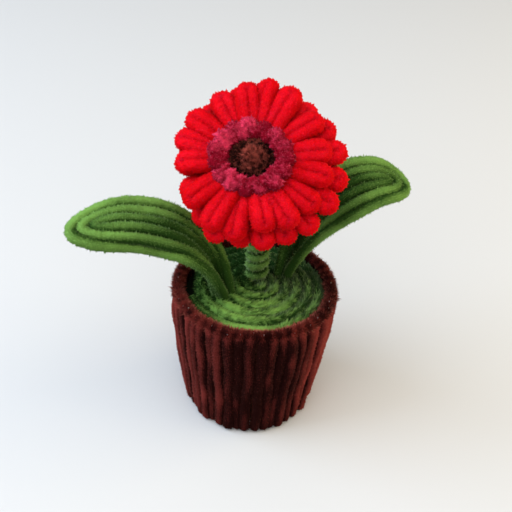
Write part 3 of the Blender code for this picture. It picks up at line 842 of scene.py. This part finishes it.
def leaf_loops(leaf, draw):
    """The leaf's three loops, each out along one hand of the spine and back along the other."""
    heading = Vector((math.cos(leaf["heading"]), math.sin(leaf["heading"]), 0))
    foot = Vector((*leaf["foot"], 0))
    knots = [foot + heading * (along * MM) + Vector((0, 0, z * MM)) for along, z in leaf["profile"]]
    spine, total, _ = evenly(smooth_line(knots), 241)
    side = np.array(heading.cross(Vector((0, 0, 1))))
    along = unit(np.gradient(spine, axis=0))
    upper = np.cross(side, along)
    upper *= np.sign(upper @ (UPWARD - 0.5 * np.array(heading)))[:, None]
    share = np.linspace(0, 1, len(spine))
    banks = np.interp(share, np.linspace(0, 1, len(leaf["bank"])), leaf["bank"])
    bank = np.radians(banks)[:, None]
    wide = side * np.cos(bank) + upper * np.sin(bank)
    lift = upper * np.cos(bank) - side * np.sin(bank)
    stems = []
    for rank, (round_end, short, light, turned, loose) in enumerate(LEAF_LOOPS):
        full = (rank + 0.5) * LEAF_PITCH * leaf["width"]
        round_from = total - short - round_end
        straight = np.linspace(0, round_from, 60, endpoint=False)
        out = np.append(straight, round_from + round_end * np.sin(np.linspace(0, math.pi / 2, 30)))
        hand = np.repeat((1, -1), (len(out), len(out) - 1))
        out = np.concatenate([out, out[-2::-1]])
        fan = ease((out - LEAF_FAN_START) / (LEAF_FAN_END - LEAF_FAN_START))
        cap = np.clip((out - round_from) / round_end, 0, 1)
        across = hand * (LEAF_ROOT_STRAND + (full - LEAF_ROOT_STRAND) * fan) * np.sqrt(1 - cap**2)
        bent, folded = fold_leaf(leaf, across)
        across = across + (bent - across) * fan
        rise = (rank - 1) * LEAF_ROOT_ROW * (1 - fan) + folded * fan
        gone = out / total
        raised = read_at(gone, share, lift)
        line = read_at(gone, share, spine)
        line = line + read_at(gone, share, wide) * across[:, None] + raised * rise[:, None]
        strand = LEAF_STRAND - LEAF_ROOT_STRAND
        strand = LEAF_ROOT_STRAND + strand * ease(out / LEAF_FAN_END * 1.4)
        # painted light towards the tip, on the outer loop and the near edge; painted shade inside
        # and near the root
        shade = leaf["shade"] + light + leaf["tip_light"] * ease(gone * 1.5 - 0.25)
        shade -= LEAF_ROOT_SHADE * (1 - ease(gone * 2.2 - 0.1))
        near = ease(across * leaf["near"] / LEAF_NEAR_EDGE + 0.5)
        lean = turned * leaf["edge_light_turn"] * (0.1 + 0.9 * near)
        pile = {"loose": loose, "step": LEAF_STEP, "shade": shade, "lean": lean}
        stems.append(chenille(line, strand + LEAF_PROUD, raised, draw, **pile))
    return stems


leaf_green = pile_finish(
    "Leaf green chenille",
    root=(0.023, 0.064, 0.009),
    tip=(0.21, 0.40, 0.082),
    fleck=(0.46, 0.68, 0.24),
    sheen=(0.2, (0.60, 0.95, 0.35)),
    tufts=0.45,
    ridge=0.9,
    level=0.05,
    uneven=0.7,
)
for side, leaf, seed in (("left", LEFT_LEAF, 11), ("right", RIGHT_LEAF, 12)):
    loops = leaf_loops(leaf, np.random.default_rng(seed))
    gather(side + "_leaf", loops, leaf_green, ["leaf_" + side])


# Each petal is one loop of red chenille stem, its two wire ends twisted together behind the
# flower. Eighteen make the back layer, a little off centre, and sixteen lie over them in front.

PETAL_ROOT = 4 * MM
PETAL_STRAND = 4.0 * MM
PETAL_ROOT_STRAND = 0.62  # of the strand's radius
PETAL_SPREAD = 2.05 * MM
PETAL_LIFT = 0.5 * MM
PETAL_TWIST = math.radians(7)
PETAL_NOD = math.radians(2)
FRONT_CROWN = 1.8 * MM
BACK_CROWN = 1.1 * MM
FRONT_PETALS = (
    # degrees clockwise from the top, reach in mm
    (3.5, 37.4),
    (21.7, 37.2),
    (48.5, 36.0),
    (74, 35.0),
    (94.6, 36.0),
    (117.8, 36.0),
    (139.6, 35.0),
    (160, 33.0),
    (184.6, 36.4),
    (203.4, 36.6),
    (227.8, 35.2),
    (260, 34.2),
    (280, 36.4),
    (298, 36.2),
    (324, 35.4),
    (346.4, 35.2),
)
BACK_PETALS = (
    (8, 37),
    (28, 38),
    (48, 38.5),
    (68, 39),
    (88, 38.5),
    (108, 38),
    (130, 36.5),
    (149.5, 35),
    (168.5, 35.5),
    (189, 35),
    (207, 38.5),
    (224, 37),
    (246, 37),
    (268, 37),
    (288, 37),
    (311, 39.5),
    (335, 40),
    (352, 38),
)
BACK_SHIFT = (3.5 * MM, -2.5 * MM)


def moved(points, matrix):
    """The same points, turned and shifted."""
    return points @ matrix[:3, :3].T + matrix[:3, 3]


def petal(degrees, reach, crown, layer, draw, **pile):
    """One loop: out along one side, round the tip and back."""
    turn_at = reach - PETAL_STRAND - PETAL_SPREAD
    side = np.array(
        [
            # share of the spread, distance out, share of the crown
            (0.35, PETAL_ROOT, -0.6),
            (0.5, 11 * MM, 0.0),
            (0.85, 17 * MM, 0.8),
            (1.02, (11 * MM + turn_at) / 2 + 5 * MM, 1.0),
            (1.0, turn_at, 0.55),
        ]
    )
    side[:, 0] *= PETAL_SPREAD
    side[:, 2] *= crown
    bend = np.radians(np.arange(20, 161, 20))
    rise = crown * (0.55 - 0.6 * np.sin(bend))
    tip = [PETAL_SPREAD * np.cos(bend), turn_at + PETAL_SPREAD * np.sin(bend), rise]
    back = side[::-1] * (-1, 1, 1)
    line = smooth_line(np.concatenate([side, np.stack(tip, axis=1), back]), 8)
    line[:, 2] += draw.uniform(-PETAL_LIFT, PETAL_LIFT)
    twist = Matrix.Rotation(draw.normal(0, PETAL_TWIST), 4, "Y")
    nod = Matrix.Rotation(draw.normal(0, PETAL_NOD), 4, "X")
    turned = np.array(layer @ Matrix.Rotation(-math.radians(degrees), 4, "Z") @ nod @ twist)
    full = ease((line[:, 1] - PETAL_ROOT) / (12 * MM))
    thick = PETAL_STRAND * (PETAL_ROOT_STRAND + (1 - PETAL_ROOT_STRAND) * full)
    return chenille(moved(line, turned), thick, turned[:3, 2], draw, **pile)


petal_red = pile_finish(
    "Red chenille",
    root=(0.57, 0.0006, 0.003),
    tip=(1.0, 0.006, 0.020),
    fleck=(1.0, 0.05, 0.07),
    sheen=(0.25, (1.0, 0.05, 0.06)),
    cloudy=0.7,
    tufts=0.5,
    fibres=0.12,
    ridge=0.95,
    level=-0.02,
    flecks=0.88,
    glow=0.5,
)
draw = np.random.default_rng(61)
back_layer = head @ Matrix.Translation((*BACK_SHIFT, -LAYER_STEP))
for side, petals, crown, layer, pile in (
    ("back", BACK_PETALS, BACK_CROWN, back_layer, {"around": 12}),
    ("front", FRONT_PETALS, FRONT_CROWN, head, {"around": 13, "bare": 3}),
):
    loops = [petal(degrees, reach * MM, crown, layer, draw, **pile) for degrees, reach in petals]
    gather(side + "_petals", loops, petal_red, ["petals_" + side])


# The ring is a magenta stem bent to and fro round the centre, so that each bend stands up as a
# tuft. It is tied down on the front petals by its own wire.

RING_MIDDLE = 14.3 * MM
RING_SWING = (1.3 * MM, 2.4 * MM)  # of the narrowest tuft and the widest
RING_STRAND = 3.1 * MM
RING_ABOVE = 2.7 * MM
RING_LIFT = (-0.6 * MM, 1.6 * MM)
RING_TUFTS = 15
RING_SQUASH = 0.87
RING_BENDS = (
    # the share of a tuft's stretch, and whether it lies outside the middle or inside
    (0.12, 1),
    (0.38, 1),
    (0.64, -1),
    (0.88, -1),
)
RING_SHADES = (
    # degrees anticlockwise from the right, how light
    (0, 0.1),
    (25, 0.3),
    (53, 0.5),
    (75, 0.2),
    (97, 0.8),
    (120, 0.4),
    (150, 0.75),
    (170, 0.4),
    (192, -0.3),
    (205, 0.2),
    (224, 0.9),
    (240, 0.45),
    (262, 0.4),
    (285, 0.5),
    (310, 0.2),
    (335, 0.1),
    (360, 0.1),
)

ring_magenta = pile_finish(
    "Magenta chenille",
    root=(0.26, 0.0018, 0.013),
    tip=(0.96, 0.056, 0.138),
    fleck=(1.0, 0.50, 0.60),
    sheen=(0.1, (1.0, 0.2, 0.35)),
    scale=480,
    cloudy=1.6,
    uneven=1.0,
    ridge=0.4,
    level=0.12,
)
draw = np.random.default_rng(71)
knots = []
for number in range(RING_TUFTS):
    swing = draw.uniform(*RING_SWING)
    lift = draw.uniform(*RING_LIFT)
    for share, side in RING_BENDS:
        around = 2 * math.pi * (number + share + draw.uniform(-0.06, 0.06)) / RING_TUFTS
        out = RING_MIDDLE + swing * side
        up = RING_SQUASH * out * math.sin(around)
        rise = LAYER_STEP / 2 + RING_ABOVE + lift * (0.6 + 0.4 * side)
        knots.append(head @ Vector((out * math.cos(around), up, rise)))
knots += knots[:2]
zigzag = smooth_line(knots, 10)
outward = np.array(head.to_3x3() @ Vector((0, 0, 1)))
shade = np.interp(np.linspace(0, 360, len(zigzag)), *np.transpose(RING_SHADES))
pile = {"bare": 4, "loose": 1.5, "clump": 0.4, "around": 26, "step": 0.45 * MM, "shade": shade}
tufts = [chenille(zigzag, RING_STRAND, outward, draw, **pile)]
gather("ring_tufts", tufts, ring_magenta, ["ring"])


# The centre is a dark brown stem coiled three times into a button. It is pressed into the ring,
# and its pile is rubbed up into a rough top.

CENTRE_COIL = 7.2 * MM
CENTRE_TURNS = 3
CENTRE_FULL = 0.8  # the turns before the coil starts to close
CENTRE_FIRST = 2.2  # radians
CENTRE_STRAND = 2.8 * MM
CENTRE_TOP = 5.4 * MM
CENTRE_DOME = 1.6 * MM
CENTRE_WANDER = 0.6 * MM
CENTRE_LIGHT = 0.55
# painted shade at the button's edge, where it is pressed into the ring
CENTRE_EDGE_SHADE = 0.45

centre_brown = pile_finish(
    "Dark brown chenille",
    root=(0.008, 0.0010, 0.0008),
    tip=(0.44, 0.080, 0.056),
    fleck=(0.85, 0.34, 0.21),
    sheen=(0.1, (1.0, 0.5, 0.4)),
    scale=520,
    cloudy=1.6,
    uneven=0.9,
    ridge=0.0,
)
draw = np.random.default_rng(81)
turned = np.linspace(0, CENTRE_TURNS, 300)
closed = np.clip((turned - CENTRE_FULL) / (CENTRE_TURNS - CENTRE_FULL), 0, 1)
out = CENTRE_COIL * (1 - closed) + CENTRE_WANDER * slow_waves(len(turned), 12, draw)
around = 2 * math.pi * turned + CENTRE_FIRST
rise = LAYER_STEP / 2 + CENTRE_TOP - CENTRE_STRAND - CENTRE_DOME * (out / CENTRE_COIL) ** 2
flat = np.stack([out * np.cos(around), out * np.sin(around), rise], axis=1)
# painted shade towards the edge of the button
shade = CENTRE_LIGHT - CENTRE_EDGE_SHADE * (out / CENTRE_COIL) ** 3
pile = {"bare": 4, "around": 24, "step": 0.45 * MM, "shade": shade}
pile |= {"loose": 2.4, "clump": 0.6, "bunch": (2.2, 3)}
button = [chenille(moved(flat, np.array(head)), CENTRE_STRAND, outward, draw, **pile)]
gather("centre_button", button, centre_brown, ["centre"])


# The setting is a plain pale table in soft light: cool from a window on the left, warm from one
# on the right, and white from above. The camera looks down on the pot, as in the photograph.

LENS = 77.3
SENSOR = 36
CAMERA_DOWN = math.radians(36.99)
CAMERA_ROLL = math.radians(3.8)
CAMERA_PLACE = Vector((-0.4 * MM, -406 * MM, 388 * MM))
TABLE_HALF = 3.0
WORLD_COLOUR = (0.97, 0.975, 0.97, 1.0)
WORLD_STRENGTH = 0.41
LIT_PLACE = Vector((0, 0, 0.09))
LIGHTS = (
    # name, place, width and height, watts, colour
    ("window_left", (-0.9, -0.05, 0.7), (0.9, 0.9), 11, (0.64, 0.79, 1.0)),
    ("window_right", (0.85, 0.12, 0.35), (0.8, 0.5), 5, (1.0, 0.80, 0.46)),
    ("ceiling", (-0.2, -0.6, 1.2), (1.4, 1.4), 13.6, (1.0, 0.985, 0.955)),
)

camera = put("camera", bpy.data.cameras.new("camera"))
camera.data.lens = LENS
camera.data.sensor_width = SENSOR
camera.data.clip_start = 0.01
camera.matrix_world = (
    Matrix.Translation(CAMERA_PLACE)
    @ Matrix.Rotation(math.pi / 2 - CAMERA_DOWN, 4, "X")
    @ Matrix.Rotation(CAMERA_ROLL, 4, "Z")
)
bpy.context.scene.camera = camera

table = bmesh.new()
bmesh.ops.create_grid(table, x_segments=2, y_segments=2, size=TABLE_HALF)
table_mesh = bpy.data.meshes.new("table")
table.to_mesh(table_mesh)
table.free()
white = Finish("White table", Roughness=0.6, Base_Color=(0.68, 0.68, 0.675, 1.0))
table_mesh.materials.append(white.material)
table_top = put("table", table_mesh)

world = bpy.data.worlds.new("studio")
world.use_nodes = True
world.node_tree.nodes["Background"].inputs["Color"].default_value = WORLD_COLOUR
world.node_tree.nodes["Background"].inputs["Strength"].default_value = WORLD_STRENGTH
bpy.context.scene.world = world

for name, place, size, watts, colour in LIGHTS:
    light = bpy.data.lights.new(name, "AREA")
    light.shape = "RECTANGLE"
    light.size, light.size_y = size
    light.energy = watts
    light.color = colour
    lamp = put(name, light)
    lamp.location = place
    lamp.rotation_euler = (Vector(place) - LIT_PLACE).to_track_quat("Z", "Y").to_euler()

bpy.context.scene.view_settings.view_transform = "Standard"
